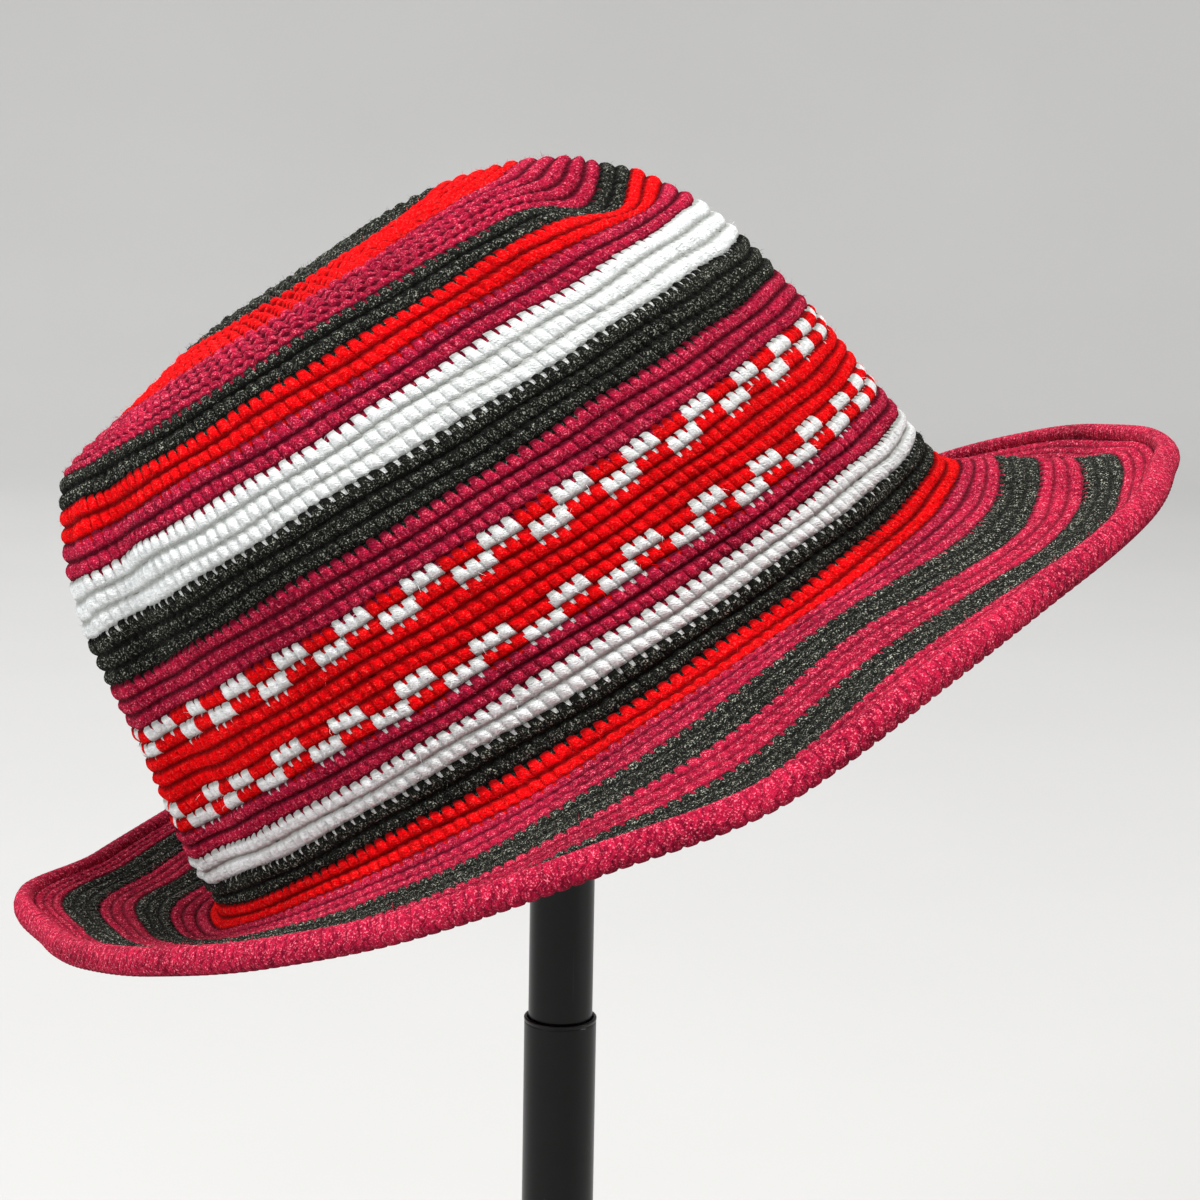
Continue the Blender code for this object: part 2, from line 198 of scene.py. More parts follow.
# The face and its outward normal on a fine net, half a degree by an eighth of a round
NET_TURNS, NET_PER_ROUND = 720, 8
net_turn = np.radians(np.arange(-360, 361) * 360.0 / NET_TURNS)[None, :]
net_round = np.arange(0.0, LAST_ROUND + 0.51, 1.0 / NET_PER_ROUND)[:, None]
face_net = hat_face(*np.broadcast_arrays(net_turn, net_round))
around = np.zeros_like(face_net)
around[:, 1:-1] = face_net[:, 2:] - face_net[:, :-2]
around[:, 0] = around[:, -1] = face_net[:, 1] - face_net[:, -2]
normal_net = np.cross(np.gradient(face_net, axis=0), around)
normal_net[0] = (0.0, 0.0, 1.0)
normal_net = normal_net / np.linalg.norm(normal_net, axis=-1, keepdims=True)
length_of_round = np.linalg.norm(np.diff(face_net, axis=1), axis=-1).sum(axis=1)


def read_net(net, turn, rounds):
    """Values of a net between its knots."""
    across = ((np.degrees(turn) + 180.0) % 360.0) * NET_TURNS / 360.0
    down = np.clip(rounds, 0.0, LAST_ROUND + 0.5) * NET_PER_ROUND
    i, k = np.minimum(down.astype(int), len(net) - 2), np.minimum(across.astype(int), NET_TURNS - 1)
    v, u = (down - i)[..., None], (across - k)[..., None]
    upper = net[i, k] * (1.0 - u) + net[i, k + 1] * u
    return upper * (1.0 - v) + (net[i + 1, k] * (1.0 - u) + net[i + 1, k + 1] * u) * v


def set_on_stand(points):
    """From the hat's frame in millimetres to the part's frame in metres, tipped back by 32 degrees."""
    cosine, sine = math.cos(TIPPED_BACK), math.sin(TIPPED_BACK)
    x = points[..., 0] * cosine - points[..., 2] * sine
    z = points[..., 0] * sine + points[..., 2] * cosine
    return np.stack([x, points[..., 1], z], -1) * 0.001 + PLACE_ON_STAND


def uneven(turn, rounds):
    """How hand work wanders: a slow drift of the rounds, in rounds, and of the face, in millimetres."""
    drift = 0.06 * np.sin(7.0 * turn + 0.8 * rounds) + 0.05 * np.sin(16.0 * turn - 1.1 * rounds)
    swell = 0.16 * np.sin(5.0 * turn - 0.5 * rounds) + 0.10 * np.sin(11.0 * turn + 0.35 * rounds)
    return drift * np.clip(rounds / 6.0, 0.0, 1.0), swell


HOLLOW_TURN, HOLLOW_SPREAD, HOLLOW_ROUND, HOLLOW_ROUNDS, HOLLOW_DEPTH = 119.0, 12.0, 35.0, 5.0, 1.8
CREASE, CREASE_SPREAD, CREASE_STEP = 1.5, 3.6, 8.0


def creases(turn, rounds):
    """Soft folds pressed into the cloth, in millimetres: down the back of the right side and ahead of it."""
    past = past_fold(turn, rounds)
    fold = CREASE * np.exp(-(past / CREASE_SPREAD) ** 2)
    fold = fold - CREASE * np.exp(-((past + CREASE_STEP) / 5.0) ** 2)
    fold = fold + 0.9 * np.exp(-((past - 13.0) / 7.0) ** 2)
    fold = fold * np.clip((rounds - RIM_ROUND) / 4.0, 0.0, 1.0) * np.clip((48.0 - rounds) / 4.0, 0.0, 1.0)
    from_hollow = np.degrees(-turn) - HOLLOW_TURN
    hollow = np.exp(-(from_hollow / HOLLOW_SPREAD) ** 2 - ((rounds - HOLLOW_ROUND) / HOLLOW_ROUNDS) ** 2)
    return fold - HOLLOW_DEPTH * hollow


# Millimetres at the brim's end that its thick edge covers
EDGE_COVER = 5.35


def brim_end(turn):
    """The round at which the plain rounds of the brim tuck into its thick edge."""
    return LAST_ROUND - EDGE_COVER * (LAST_ROUND - TURN_ROUND) / brim_width(turn)


def on_hat(turn, rounds, out):
    """Points on the hat: out is how far they stand off the fabric's face, in millimetres."""
    turn = (turn + math.pi) % (2.0 * math.pi) - math.pi
    # The last three plain rounds are drawn together or apart so that they end under the thick edge
    plain = 61.0
    late = plain + (rounds - plain) / 3.0 * (brim_end(turn) + 0.1 - plain)
    rounds = np.where(rounds > plain, late, rounds)
    drift, swell = uneven(turn, rounds)
    drift = drift * np.clip((LAST_ROUND - 1.5 - rounds) / 3.0, 0.0, 1.0)
    point, normal = read_net(face_net, turn, rounds + drift), read_net(normal_net, turn, rounds + drift)
    return set_on_stand(point + normal * (out + swell + creases(turn, rounds))[..., None])


# One stitch on the outside: rows down its height, each with the place of the slit's two lips and
# of the crest, and how far they stand off the face. A new yarn makes separate pegs with open gaps.
STITCH_PITCH, ROUND_HEIGHT = 2.93, 3.64
STITCH_LEAN, ROUND_SHIFT, SHOULDER = 0.30, 0.37, 0.215
SAME_YARN = (
    # down, slit half width, slit height, shoulder height, crest height
    (-0.03, 0.080, -1.00, -1.00, -1.00),
    (0.12, 0.085, -0.86, -0.56, -0.34),
    (0.30, 0.090, -0.76, -0.27, 0.12),
    (0.50, 0.090, -0.70, -0.17, 0.28),
    (0.70, 0.085, -0.72, -0.27, 0.12),
    (0.88, 0.080, -0.82, -0.58, -0.36),
    (1.03, 0.080, -1.00, -1.00, -1.00),
)
NEW_YARN = (
    (-0.02, 0.170, -0.52, -0.95, -1.00),
    (0.11, 0.145, -0.40, -0.16, -0.06),
    (0.35, 0.095, -0.55, 0.10, 0.24),
    (0.54, 0.055, -0.42, 0.10, 0.26),
    (0.72, 0.050, -0.34, -0.04, 0.07),
    (0.88, 0.060, -0.58, -0.42, -0.36),
    (1.03, 0.080, -1.00, -1.00, -1.00),
)
# One stitch on the wrong side, seen inside the crown and under the brim: down, and the depth of its
# groove and of its back below the outer face
WRONG_SIDE = ((0.0, -3.05, -3.05), (0.24, -3.70, -3.95), (0.62, -3.72, -4.05), (1.0, -3.05, -3.05))
CHECKED_STITCHES = 198
# How far a stitch may stray: slit and crest in millimetres, down in rounds and aside in stitches
STRAY_SLIT, STRAY_CREST, STRAY_DOWN, STRAY_ASIDE = 0.10, 0.12, 0.040, 0.055
# The brim is worked tighter, so its stitches stand less proud of their mean height
BRIM_TIGHTER, MEAN_HEIGHT = 0.50, -0.30
hand = np.random.default_rng(20)
stitches_done = {}


def stitch_count(number):
    """Stitches in a round: what its length asks for, and a whole number of repeats in the checks."""
    if 34 < number <= 41:
        return CHECKED_STITCHES
    return max(6, round(length_of_round[int((number - 0.5) * NET_PER_ROUND)] / STITCH_PITCH))


def worked_strip(number, count, place, down, heights, turned_in=False):
    """A closed strip along a round: its points, its quads and their stitch coordinates."""
    rows, wide = place.shape
    turn = (place + STITCH_LEAN * (down - 0.5) + ROUND_SHIFT * number) / count * 2.0 * math.pi
    points = on_hat(turn, number - 1.0 + down, heights).reshape(-1, 3)
    i, k = np.meshgrid(np.arange(rows - 1), np.arange(wide), indexing="ij")
    after = (k + 1) % wide
    faces = np.stack([i * wide + k, (i + 1) * wide + k, (i + 1) * wide + after, i * wide + after], -1)
    seen_u = np.concatenate([place, place[:, :1] + count], axis=1)
    seen_v = number - 1.0 + np.concatenate([down, down[:, :1]], axis=1)
    seen = np.stack([seen_u, seen_v], -1)
    corners = np.stack([seen[i, k], seen[i + 1, k], seen[i + 1, k + 1], seen[i, k + 1]], -2)
    order = [0, 3, 2, 1] if turned_in else [0, 1, 2, 3]
    return points, faces.reshape(-1, 4)[:, order], corners.reshape(-1, 4, 2)[:, order]


def crochet_round(number, yarns):
    """One round, outside and inside: points, faces, yarn of each face and stitch coordinates."""
    count = len(yarns)
    start = ROUND_SHIFT * number
    stitch = np.arange(count)
    nudge = np.clip(hand.normal(0.0, 1.0, (5, count)), -1.8, 1.8)

    # A stitch in another yarn than the one above it is a peg, and that yarn shows in its gaps
    before, before_start = stitches_done.get(number - 1, (yarns[:1], 0.0))
    slit = (stitch + start - STITCH_LEAN / 2.0) / count * len(before) - before_start - STITCH_LEAN / 2.0
    above = before[np.floor(slit).astype(int) % len(before)]
    new = above != yarns
    shape = np.where(new[None, :, None], np.array(NEW_YARN)[:, None, :], np.array(SAME_YARN)[:, None, :])
    level, lip, slit_height, shoulder_height, crest_height = np.moveaxis(shape, -1, 0)
    even = 0.0 * lip
    across = np.stack([-lip, lip, SHOULDER + even, 0.5 + even, 1.0 - SHOULDER + even], -1)
    slit_height = slit_height - STRAY_SLIT * np.abs(nudge[0])
    bulge = STRAY_CREST * nudge[1] * np.sin(np.pi * np.clip(level, 0.0, 1.0))
    shoulder_height, crest_height = shoulder_height + bulge, crest_height + bulge
    heights = np.stack([slit_height, slit_height, shoulder_height, crest_height, shoulder_height], -1)
    flatter = 1.0 - BRIM_TIGHTER * min(max((number - 48.0) / 3.0, 0.0), 1.0)
    heights = MEAN_HEIGHT + (heights - MEAN_HEIGHT) * flatter
    scallop = np.where(new, np.clip(0.4 - level, 0.0, 1.0), 0.0)
    down = level[..., None] - scallop[..., None] * np.array([-0.10, -0.10, 0.16, 0.24, 0.16])
    crest_only = np.array([0.0, 0.0, 1.0, 1.0, 1.0])
    down = down + STRAY_DOWN * nudge[2][:, None] * crest_only
    across = across + STRAY_ASIDE * nudge[3][:, None] * crest_only
    rows = len(shape)
    place, down, heights = (part.reshape(rows, -1) for part in (stitch[:, None] + across, down, heights))
    points, faces, seen = worked_strip(number, count, place, down, heights)
    yarn = np.repeat(yarns[None, :], rows - 1, 0)[..., None] + np.zeros(5, int)
    gap = np.broadcast_to(new, yarn.shape[:2]) & (np.arange(rows - 1) < 2)[:, None]
    yarn[..., 0] = np.where(gap, above, yarn[..., 0])

    # The wrong side
    wrong = np.array(WRONG_SIDE)
    place = (stitch[:, None] + np.array([0.0, 0.22, 0.62])).reshape(1, -1) + np.zeros((len(wrong), 1))
    down = wrong[:, :1] + np.zeros_like(place)
    heights = np.tile(wrong[:, [1, 2, 2]], (1, count)) + 0.05 * np.repeat(nudge[4], 3)
    inner_points, inner_faces, inner_seen = worked_strip(number, count, place, down, heights, turned_in=True)
    inner_yarn = np.tile(np.repeat(yarns, 3), len(wrong) - 1)
    stitches_done[number] = (yarns, start)
    return [np.concatenate([points, inner_points]), np.concatenate([faces, inner_faces + len(points)]),
            np.concatenate([yarn.reshape(-1), inner_yarn]), np.concatenate([seen, inner_seen])]


def quad_piece(name, points, faces, yarn, coordinates, finishes):
    """A smooth mesh of quads whose faces each take one of the finishes, with its stitch coordinates."""
    mesh = bpy.data.meshes.new(name)
    mesh.vertices.add(len(points))
    mesh.vertices.foreach_set("co", points.ravel())
    mesh.loops.add(4 * len(faces))
    mesh.loops.foreach_set("vertex_index", faces.ravel().astype(np.int32))
    mesh.polygons.add(len(faces))
    mesh.polygons.foreach_set("loop_start", np.arange(0, 4 * len(faces), 4, dtype=np.int32))
    for finish in finishes:
        mesh.materials.append(finish)
    mesh.polygons.foreach_set("material_index", yarn.astype(np.int32))
    mesh.update(calc_edges=True)
    mesh.polygons.foreach_set("use_smooth", np.ones(len(faces), bool))
    mesh.uv_layers.new(name="stitch").data.foreach_set("uv", coordinates.ravel())
    made = bpy.data.objects.new(name, mesh)
    bpy.context.scene.collection.objects.link(made)
    return made


def crochet_piece(name, first, last, yarn_of, node):
    """The rounds from first to last as one piece that stands for a CAD node."""
    parts, offset = [], 0
    for number in range(first, last + 1):
        part = crochet_round(number, yarn_of(number, np.arange(stitch_count(number))))
        part[1] = part[1] + offset
        offset += len(part[0])
        parts.append(part)
    joined = [np.concatenate([part[i] for part in parts]) for i in range(4)]
    made = quad_piece(name, *joined, yarn_finishes)
    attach(made, "root")
    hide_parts(node)
    return made


class Dye:
    """A value or colour on its way to a shader. Arithmetic on values adds Math nodes."""

    def __init__(self, tree, socket=None):
        self.tree, self.socket = tree, socket

    def node(self, kind, sockets=(), output=0, **settings):
        """Adds one node: its settings first, then the values or links of its sockets."""
        made = self.tree.nodes.new("ShaderNode" + kind)
        for name, value in settings.items():
            setattr(made, name, value)
        for name, value in dict(sockets).items():
            if isinstance(value, Dye):
                self.tree.links.new(value.socket, made.inputs[name])
            else:
                made.inputs[name].default_value = value
        return Dye(self.tree, made.outputs[output])

    def math(self, operation, *values):
        return self.node("Math", dict(enumerate(values)), operation=operation)

    def __add__(self, other):
        return self.math("ADD", self, other)

    def __radd__(self, other):
        return self.math("ADD", other, self)

    def __sub__(self, other):
        return self.math("SUBTRACT", self, other)

    def __rsub__(self, other):
        return self.math("SUBTRACT", other, self)

    def __mul__(self, other):
        return self.math("MULTIPLY", self, other)

    def __rmul__(self, other):
        return self.math("MULTIPLY", other, self)

    def __abs__(self):
        return self.math("ABSOLUTE", self)

    def between(self, low, high):
        """A soft step from 0 at low to 1 at high."""
        ends = {0: self, 1: low, 2: high, 3: 0.0, 4: 1.0}
        return self.node("MapRange", ends, interpolation_type="SMOOTHSTEP")

    def mixed(self, share, other):
        """This colour, with a share of another colour in it."""
        return self.node("Mix", {0: share, 6: self, 7: other}, output=2, data_type="RGBA")


def shade_of(red, green, blue):
    """A colour seen as three numbers up to 255, as the light that it stands for."""
    seen = [part / 255.0 for part in (red, green, blue)]
    return (*(c / 12.92 if c < 0.0404 else ((c + 0.055) / 1.055) ** 2.4 for c in seen), 1.0)


def new_finish(name, **surface):
    """A material with its even values set on the shader's own sockets."""
    made = bpy.data.materials.new(name)
    made.use_nodes = True
    shader = made.node_tree.nodes["Principled BSDF"]
    for socket, value in surface.items():
        shader.inputs[socket.replace("_", " ")].default_value = value
    return made, shader, Dye(made.node_tree)


def wire(finish, shader, socket, dye):
    """Links a value or colour to one of the shader's own sockets."""
    finish.node_tree.links.new(dye.socket, shader.inputs[socket])


def yarn(name, painted_groove_shade, deep, body, tip, speck_and_sheen_share, lint):
    """Soft-spun cotton: fine plies run along each stitch, and loose fibre ends stand light on dark. Painted
    shade darkens the grooves between rounds and the slits between stitches, and the light fibre specks are
    partly painted sheen.
    """
    made, shader, dye = new_finish(name, Roughness=0.94, Sheen_Weight=0.05, Sheen_Roughness=0.6,
                                   Sheen_Tint=tip, Specular_IOR_Level=0.05)
    stitch = dye.node("SeparateXYZ", {0: dye.node("UVMap", uv_map="stitch")})
    rounds = Dye(dye.tree, stitch.socket.node.outputs[1])
    cell_u, cell_v = stitch.math("FLOOR", stitch), rounds.math("FLOOR", rounds)
    in_u, in_v = stitch - cell_u, rounds - cell_v
    along, across = in_u * STITCH_PITCH + in_v * 1.3, in_v * ROUND_HEIGHT - in_u * 1.1
    cell = dye.node("CombineXYZ", {0: cell_u, 1: cell_v, 2: 0.5})
    lot = dye.node("TexWhiteNoise", {0: cell}, noise_dimensions="3D")
    path = dye.node("CombineXYZ", {0: along * 0.6, 1: across * 2.0, 2: lot * 40.0})
    plies = dye.node("TexNoise", {"Vector": path, "Scale": 1.5, "Detail": 3.0, "Roughness": 0.65})
    solid = dye.node("TexCoord", output=3)
    fibres = dye.node("TexNoise", {"Vector": solid, "Scale": 2300.0, "Detail": 1.5, "Roughness": 0.7})
    clumps = dye.node("TexNoise", {"Vector": solid, "Scale": 800.0, "Detail": 2.0, "Roughness": 0.6})
    patch = dye.node("TexNoise", {"Vector": solid, "Scale": 45.0, "Detail": 2.0})
    lit = plies * 0.45 + clumps * 0.35 + patch * 0.20
    # Painted shade: masks of the grooves between rounds and of the slits between stitches, where the yarn
    # lies in shade
    painted_groove_mask = abs(in_v - 0.5).between(0.20, 0.46)
    slit = abs(in_u - 0.5).between(0.33, 0.50)
    # The brim's cloth is flatter and has more nap than the crown's, so its grooves get less painted shade
    # and more light specks; its thick edge only has the nap
    nap = rounds.between(49.0, 52.0)
    flat = nap - rounds.between(63.8, 64.1)
    painted_shade_mask = painted_groove_mask.math("MAXIMUM", painted_groove_mask, slit * 0.5) * (1.0 - flat * 0.36)
    colour = dye.node("Mix", {0: lit.between(0.38, 0.60), 6: deep, 7: body}, output=2, data_type="RGBA")
    # Light fibre specks: partly loose fibre ends, partly painted sheen where fibres catch the light; fewer
    # of them in the painted groove shade
    speck_and_sheen_mask = fibres.between(0.54, 0.68) * (clumps.between(0.36, 0.62) * 0.9 + 0.35)
    colour = colour.mixed(speck_and_sheen_mask * (1.0 - painted_shade_mask * 0.75) * (nap * 0.30 + 1.0) * speck_and_sheen_share, tip)
    # Painted shade: the grooves and slits take the sunken colour
    colour = colour.mixed(painted_shade_mask * 0.9, painted_groove_shade)
    wire(made, shader, "Base Color", colour)
    height = plies * (0.7 - lint) + clumps * 0.4 + fibres * lint
    wire(made, shader, "Normal", dye.node("Bump", {"Strength": 1.0, "Distance": 0.0011, "Height": height}))
    return made


SCARLET, BURGUNDY, CHARCOAL, WHITE = range(4)
# The sunken colour of each yarn is painted shade for its grooves and slits; its tip colour is partly painted
# sheen on the light fibre specks
yarn_finishes = [
    yarn("scarlet_cotton", painted_groove_shade=shade_of(100, 0, 3), deep=shade_of(168, 0, 5),
         body=shade_of(238, 2, 10), tip=shade_of(255, 88, 80), speck_and_sheen_share=0.45, lint=0.35),
    yarn("burgundy_cotton", painted_groove_shade=shade_of(62, 0, 16), deep=shade_of(108, 2, 32),
         body=shade_of(184, 24, 60), tip=shade_of(255, 128, 146), speck_and_sheen_share=0.62, lint=0.40),
    yarn("charcoal_cotton", painted_groove_shade=shade_of(2, 2, 2), deep=shade_of(6, 7, 6),
         body=shade_of(25, 27, 24), tip=shade_of(182, 184, 168), speck_and_sheen_share=0.60, lint=0.45),
    yarn("white_cotton", painted_groove_shade=shade_of(150, 152, 148), deep=shade_of(200, 203, 202),
         body=shade_of(232, 235, 235), tip=shade_of(252, 253, 253), speck_and_sheen_share=0.50, lint=0.30),
]
TOP_STRIPES = ((9, CHARCOAL), (14, SCARLET), (19, BURGUNDY))


def striped(stripes):
    """A rule that gives each whole round the yarn of its stripe, from (last round, yarn) pairs."""
    def yarn_of(number, stitch):
        return np.full(len(stitch), next(dyed for last, dyed in stripes if number <= last))
    return yarn_of


crochet_piece("crown_top_rounds", 1, 19, striped(TOP_STRIPES), "crown_top")

# CROWN SIDE
# Thirty rounds of the same cotton straight on from the top: thin stripes, then two rows of little
# white dashes worked into scarlet, then thin stripes down to the brim. Its wrong side lines it.
SIDE_STRIPES = ((21, CHARCOAL), (23, SCARLET), (25, BURGUNDY), (28, WHITE), (31, CHARCOAL), (34, BURGUNDY),
                (41, SCARLET), (43, BURGUNDY), (45, WHITE), (47, CHARCOAL), (49, SCARLET))
DASH_ROUNDS = {35: 0, 36: 3, 40: 0, 41: 3}


def checked(number, stitch):
    """The side's stripes, with dashes of three white stitches in the four checked rounds."""
    plain = striped(SIDE_STRIPES)(number, stitch)
    if number not in DASH_ROUNDS:
        return plain
    return np.where((stitch + DASH_ROUNDS[number]) % 6 < 3, WHITE, plain)


crochet_piece("crown_rim_rounds", 20, 28, checked, "crown_upper_side")
crochet_piece("crown_middle_rounds", 29, 34, checked, "crown_upper_side")
crochet_piece("checked_rounds", 35, 41, checked, "crown_lower_side")
crochet_piece("crown_foot_rounds", 42, 49, checked, "crown_lower_side")

# BRIM
# The same yarns increased into a wide brim, burgundy and charcoal in stripes of three rounds,
# turned up at the back and down at the front. The wrong side shows underneath.
BRIM_STRIPES = ((52, BURGUNDY), (55, CHARCOAL), (58, BURGUNDY), (61, CHARCOAL), (64, BURGUNDY))
crochet_piece("brim_inner_rounds", 50, 57, striped(BRIM_STRIPES), "brim")
crochet_piece("brim_outer_rounds", 58, 64, striped(BRIM_STRIPES), "brim")

# BRIM EDGE
# The last round, worked over a cord so that it stands thick and firm: slanting wraps with a rib along the
# top and a dark notch between them underneath, the darkness partly painted shade on the lines between the
# wraps and on the cord's underside.
EDGE_OUT, EDGE_UP, EDGE_LEAN, NOTCH_WIDTH = 2.6, 3.3, 0.10, 0.22
EDGE_SIDES, EDGE_STITCHES, EDGE_STEPS = 14, 300, 5
wrap = np.arange(EDGE_STITCHES * EDGE_STEPS) / EDGE_STEPS
bow = 2.0 * math.pi * np.arange(EDGE_SIDES) / EDGE_SIDES
bow, wrap = np.meshgrid(bow, wrap, indexing="ij")
edge_turn = (wrap - EDGE_LEAN * bow) / EDGE_STITCHES * 2.0 * math.pi
edge_turn = (edge_turn + math.pi) % (2.0 * math.pi) - math.pi
edge_round = LAST_ROUND - EDGE_OUT * (LAST_ROUND - TURN_ROUND) / brim_width(edge_turn)
edge_normal = read_net(normal_net, edge_turn, edge_round)
outward = read_net(face_net, edge_turn, edge_round + 0.25) - read_net(face_net, edge_turn, edge_round - 0.25)
outward = outward / np.linalg.norm(outward, axis=-1, keepdims=True)
spine = read_net(face_net, edge_turn, edge_round) - 0.5 * WALL * edge_normal
in_wrap = wrap % 1.0
notch = np.clip(1.0 - np.minimum(in_wrap, 1.0 - in_wrap) / NOTCH_WIDTH, 0.0, 1.0)
rib = np.exp(-((bow - 0.9) / 0.22) ** 2)
swell = 1.0 - 0.15 * notch * (0.5 - 0.5 * np.sin(bow - 0.2)) + 0.05 * rib
edge_points = spine + swell[..., None] * (EDGE_OUT * np.cos(bow)[..., None] * outward
                                          + EDGE_UP * np.sin(bow)[..., None] * edge_normal)
wide = EDGE_STITCHES * EDGE_STEPS
i, k = np.meshgrid(np.arange(EDGE_SIDES), np.arange(wide), indexing="ij")
low, high, after = i * wide, (i + 1) % EDGE_SIDES * wide, (k + 1) % wide
edge_faces = np.stack([low + k, low + after, high + after, high + k], -1).reshape(-1, 4)
# Its round in the yarn's pattern is 64 to 65, so the painted groove shade at both ends of the round meets
# underneath and darkens the cord's underside
edge_share = 0.92
u, v = k / EDGE_STEPS, 64.5 + ((i / EDGE_SIDES - 1 / 6 + 0.5) % 1.0 - 0.5) * edge_share
along, down = 1.0 / EDGE_STEPS, edge_share / EDGE_SIDES
edge_seen = np.stack([np.stack([u, v], -1), np.stack([u + along, v], -1),
                      np.stack([u + along, v + down], -1), np.stack([u, v + down], -1)], -2)
brim_edge = quad_piece("brim_edge_round", set_on_stand(edge_points).reshape(-1, 3), edge_faces,
                       np.full(len(edge_faces), BURGUNDY), edge_seen.reshape(-1, 4, 2), yarn_finishes)
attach(brim_edge, "root")
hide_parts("brim_edge")

# LOOSE FIBRES
# Hairs that work their way out of the yarn and stand off the fabric, each a thin bent ribbon of its
# own yarn's colour.


def loose_fibres(name, first, last, number_of):
    """Hairs scattered evenly over the rounds from first to last."""
    numbers = np.arange(first, last + 1)
    sizes = np.array([length_of_round[int((number - 0.5) * NET_PER_ROUND)] for number in numbers])
    rounds = hand.choice(numbers, number_of, p=sizes / sizes.sum())
    turn = hand.uniform(-math.pi, math.pi, number_of)
    down = hand.uniform(0.2, 0.8, number_of)
    colour = np.empty(number_of, int)
    for number in numbers:
        here = rounds == number
        yarns, start = stitches_done[number]
        stitch = np.floor(turn[here] / 2.0 / math.pi * len(yarns) - start).astype(int)
        colour[here] = yarns[stitch % len(yarns)]
    place = rounds - 1.0 + down
    base = read_net(face_net, turn, place)
    normal = read_net(normal_net, turn, place)
    reach = hand.uniform(0.7, 2.1, (number_of, 1))
    sideways = np.cross(normal, hand.normal(0.0, 1.0, (number_of, 3)))
    sideways = sideways / np.linalg.norm(sideways, axis=1, keepdims=True)
    across = np.cross(sideways, normal) * hand.uniform(0.03, 0.045, (number_of, 1))
    middle = base + reach * (0.35 * sideways + 0.40 * normal)
    tip = base + reach * (0.90 * sideways + hand.uniform(0.15, 0.75, (number_of, 1)) * normal)
    points = np.stack([base - across, base + across, middle - 0.8 * across, middle + 0.8 * across,
                       tip - 0.4 * across, tip + 0.4 * across], 1)
    first_corner = 6 * np.arange(number_of)[:, None, None]
    faces = (first_corner + np.array([[0, 1, 3, 2], [2, 3, 5, 4]])).reshape(-1, 4)
    middle_of_stitch = np.stack([colour * 0.0 + 0.5, rounds - 0.5], -1)[:, None, None, :]
    seen = np.broadcast_to(middle_of_stitch, (number_of, 2, 4, 2))
    made = quad_piece(name, set_on_stand(points).reshape(-1, 3), faces, np.repeat(colour, 2),
                      seen.reshape(-1, 4, 2), yarn_finishes)
    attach(made, "root")
    return made


loose_fibres("crown_fibres", 1, 49, 7600)
loose_fibres("brim_fibres", 50, 64, 5200)

# STAND
# Two steel tubes, one sliding in the other, in satin black enamel, with a moulded knob under the
# hat and a round powder-coated foot.


def turned(name, profile, finish, node, closed=False):
    """A smooth body turned about the Z axis from (radius, height) points in millimetres."""
    sides = 96
    angle = 2.0 * math.pi * np.arange(sides) / sides
    profile = np.array(profile, float) * 0.001
    points = np.stack([profile[:, :1] * np.cos(angle), profile[:, :1] * np.sin(angle),
                       profile[:, 1:] + 0.0 * angle], -1)
    bands = len(profile) if closed else len(profile) - 1
    i, k = np.meshgrid(np.arange(bands), np.arange(sides), indexing="ij")
    low, high, after = i * sides, (i + 1) % len(profile) * sides, (k + 1) % sides
    faces = np.stack([low + k, low + after, high + after, high + k], -1).reshape(-1, 4)
    u, v = k / sides, i / len(profile)
    seen = np.stack([np.stack([u, v], -1)] * 4, -2).reshape(-1, 4, 2)
    made = quad_piece(name, points.reshape(-1, 3), faces, np.zeros(len(faces)), seen, [finish])
    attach(made, "root")
    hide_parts(node)
    return made


def enamel(name, body, rough, grain, grain_depth):
    """Black paint on metal: fine grain, faint rubbing along the tube and a little dust in it."""
    made, shader, dye = new_finish(name, Specular_IOR_Level=0.18, Coat_Weight=0.03, Coat_Roughness=0.25)
    solid = dye.node("TexCoord", output=3)
    fine = dye.node("TexNoise", {"Vector": solid, "Scale": grain, "Detail": 2.0})
    cloud = dye.node("TexNoise", {"Vector": solid, "Scale": 45.0, "Detail": 4.0, "Roughness": 0.6})
    stretched = dye.node("Mapping", {0: solid, 3: (900.0, 900.0, 18.0)})
    rubbed = dye.node("TexNoise", {"Vector": stretched, "Scale": 1.0, "Detail": 3.0})
    dusty, dust, worn = cloud.between(0.35, 0.75) * 0.5, shade_of(16, 16, 17), shade_of(58, 58, 60)
    colour = dye.node("Mix", {0: dusty, 6: body, 7: dust}, output=2, data_type="RGBA")
    colour = colour.mixed(rubbed.between(0.68, 0.82) * 0.25, worn)
    wire(made, shader, "Base Color", colour)
    wire(made, shader, "Roughness", cloud * 0.10 + rubbed * 0.08 + (rough - 0.09))
    relief = dye.node("Bump", {"Strength": 0.35, "Distance": grain_depth, "Height": fine})
    wire(made, shader, "Normal", relief)
    return made


def rounded(centre_r, centre_z, radius, first, last, steps=6):
    """Points along an arc of a profile, from one angle in degrees to another."""
    angles = np.radians(np.linspace(first, last, steps + 1))
    return [(centre_r + radius * math.cos(a), centre_z + radius * math.sin(a)) for a in angles]


